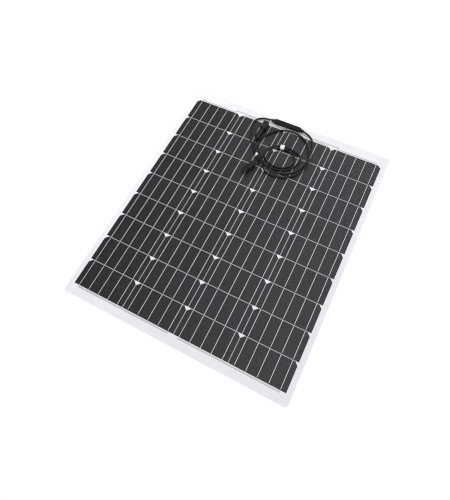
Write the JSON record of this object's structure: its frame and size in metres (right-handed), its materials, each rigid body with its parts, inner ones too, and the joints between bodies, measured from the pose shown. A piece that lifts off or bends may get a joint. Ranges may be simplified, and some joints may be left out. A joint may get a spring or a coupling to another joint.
{
  "type": "flexible solar sheet",
  "caption": "Thin bendable solar laminate with white border, slim front junction box and two tied-up black leads ending in plug-in connectors.",
  "frame": {"origin": "middle of the sheet's flat underside", "axes": "+X along the rows of cells, +Y towards the edge that carries the junction box, +Z out of the front face"},
  "size_m": [0.663, 0.7864, 0.0201],
  "materials": {
    "clear_film": "clear, finely textured, half gloss",
    "silicon": "dark grey, fine pyramid texture",
    "tinned_copper": "matt tin",
    "white_encapsulant": "white",
    "white_back_sheet": "white, fibre reinforced",
    "black_plastic": "satin",
    "black_epoxy": "moulded",
    "black_jacket": "satin",
    "bare_copper": "bare stranded copper",
    "white_plastic": "white nylon",
    "connector_plastic": "satin",
    "seal_rubber": "matt",
    "tinned_contact": "tin plate"
  },
  "bodies": {
    "sheet_row_1": {"front_film_1": "clear_film", "cells_1": "silicon", "ribbons_1": "tinned_copper", "encapsulant_1": "white_encapsulant", "back_sheet_1": "white_back_sheet"},
    "sheet_row_2": {"front_film_2": "clear_film", "cells_2": "silicon", "ribbons_2": "tinned_copper", "encapsulant_2": "white_encapsulant", "back_sheet_2": "white_back_sheet"},
    "sheet_row_3": {"front_film_3": "clear_film", "cells_3": "silicon", "ribbons_3": "tinned_copper", "encapsulant_3": "white_encapsulant", "back_sheet_3": "white_back_sheet"},
    "sheet_row_4": {"front_film_4": "clear_film", "cells_4": "silicon", "ribbons_4": "tinned_copper", "encapsulant_4": "white_encapsulant", "back_sheet_4": "white_back_sheet"},
    "sheet_row_5": {"front_film_5": "clear_film", "cells_5": "silicon", "ribbons_5": "tinned_copper", "encapsulant_5": "white_encapsulant", "back_sheet_5": "white_back_sheet"},
    "sheet_row_6": {"front_film_6": "clear_film", "cells_6": "silicon", "ribbons_6": "tinned_copper", "encapsulant_6": "white_encapsulant", "back_sheet_6": "white_back_sheet"},
    "sheet_row_7": {"front_film_7": "clear_film", "cells_7": "silicon", "ribbons_7": "tinned_copper", "encapsulant_7": "white_encapsulant", "back_sheet_7": "white_back_sheet"},
    "sheet_row_8": {"front_film_8": "clear_film", "cells_8": "silicon", "ribbons_8": "tinned_copper", "encapsulant_8": "white_encapsulant", "back_sheet_8": "white_back_sheet"},
    "sheet_row_9": {"front_film_9": "clear_film", "cells_9": "silicon", "ribbons_9": "tinned_copper", "encapsulant_9": "white_encapsulant", "back_sheet_9": "white_back_sheet", "junction_box_base": "black_plastic", "junction_terminals": "tinned_copper", "bypass_diode": "black_epoxy"},
    "box_lid": {"junction_box_lid": "black_plastic"},
    "leads": {"lead_jackets": "black_jacket", "lead_conductors": "bare_copper", "cable_ties": "white_plastic", "plug_housing": "connector_plastic", "socket_housing": "connector_plastic", "connector_seals": "seal_rubber", "connector_contacts": "tinned_contact"},
    "plug_gland": {"plug_nut": "connector_plastic"},
    "socket_gland": {"socket_nut": "connector_plastic"},
    "finger_left": {"latch_finger_left": "connector_plastic"},
    "finger_right": {"latch_finger_right": "connector_plastic"}
  },
  "joints": [
    {"name": "bend_5_6", "type": "hinge", "parent": "sheet_row_5", "child": "sheet_row_6", "pos_m": [0, 0.03769, 0.00125], "axis": [-1, 0, 0], "range_deg": [0, 3.75], "stiffness_Nm_per_rad": 12},
    {"name": "bend_6_7", "type": "hinge", "parent": "sheet_row_6", "child": "sheet_row_7", "pos_m": [0, 0.11806, 0.00125], "axis": [-1, 0, 0], "range_deg": [0, 3.75], "stiffness_Nm_per_rad": 12},
    {"name": "bend_7_8", "type": "hinge", "parent": "sheet_row_7", "child": "sheet_row_8", "pos_m": [0, 0.19844, 0.00125], "axis": [-1, 0, 0], "range_deg": [0, 3.75], "stiffness_Nm_per_rad": 12},
    {"name": "bend_8_9", "type": "hinge", "parent": "sheet_row_8", "child": "sheet_row_9", "pos_m": [0, 0.27881, 0.00125], "axis": [-1, 0, 0], "range_deg": [0, 3.75], "stiffness_Nm_per_rad": 12},
    {"name": "bend_4_5", "type": "hinge", "parent": "sheet_row_5", "child": "sheet_row_4", "pos_m": [0, -0.04269, 0.00125], "axis": [1, 0, 0], "range_deg": [0, 3.75], "stiffness_Nm_per_rad": 12},
    {"name": "bend_3_4", "type": "hinge", "parent": "sheet_row_4", "child": "sheet_row_3", "pos_m": [0, -0.12306, 0.00125], "axis": [1, 0, 0], "range_deg": [0, 3.75], "stiffness_Nm_per_rad": 12},
    {"name": "bend_2_3", "type": "hinge", "parent": "sheet_row_3", "child": "sheet_row_2", "pos_m": [0, -0.20344, 0.00125], "axis": [1, 0, 0], "range_deg": [0, 3.75], "stiffness_Nm_per_rad": 12},
    {"name": "bend_1_2", "type": "hinge", "parent": "sheet_row_2", "child": "sheet_row_1", "pos_m": [0, -0.28381, 0.00125], "axis": [1, 0, 0], "range_deg": [0, 3.75], "stiffness_Nm_per_rad": 12},
    {"name": "lead_swing", "type": "hinge", "parent": "sheet_row_9", "child": "leads", "pos_m": [0, 0.37759, 0.0072], "axis": [-1, 0, 0], "range_deg": [0, 150]},
    {"name": "box_lid_lift", "type": "slide", "parent": "sheet_row_9", "child": "box_lid", "axis": [0, 0, 1], "range_m": [0, 0.01]},
    {"name": "plug_nut_turn", "type": "hinge", "parent": "leads", "child": "plug_gland", "pos_m": [-0.06866, 0.29597, 0.0112], "axis": [0.0541, 0.9985, 0], "continuous": true},
    {"name": "socket_nut_turn", "type": "hinge", "parent": "leads", "child": "socket_gland", "pos_m": [-0.03758, 0.19763, 0.0112], "axis": [-0.342, -0.9397, 0], "continuous": true},
    {"name": "finger_left_squeeze", "type": "hinge", "parent": "leads", "child": "finger_left", "pos_m": [-0.03663, 0.17919, 0.0112], "axis": [0, 0, -1], "range_deg": [0, 2.5], "stiffness_Nm_per_rad": 0.3},
    {"name": "finger_right_squeeze", "type": "hinge", "parent": "leads", "child": "finger_right", "pos_m": [-0.05016, 0.18412, 0.0112], "axis": [0, 0, 1], "range_deg": [0, 2.5], "stiffness_Nm_per_rad": 0.3}
  ],
  "couplings": [
    {"joint": "bend_4_5", "follows": "bend_5_6", "ratio": 1},
    {"joint": "bend_3_4", "follows": "bend_5_6", "ratio": 1},
    {"joint": "bend_2_3", "follows": "bend_5_6", "ratio": 1},
    {"joint": "bend_1_2", "follows": "bend_5_6", "ratio": 1},
    {"joint": "bend_6_7", "follows": "bend_5_6", "ratio": 1},
    {"joint": "bend_7_8", "follows": "bend_5_6", "ratio": 1},
    {"joint": "bend_8_9", "follows": "bend_5_6", "ratio": 1}
  ]
}
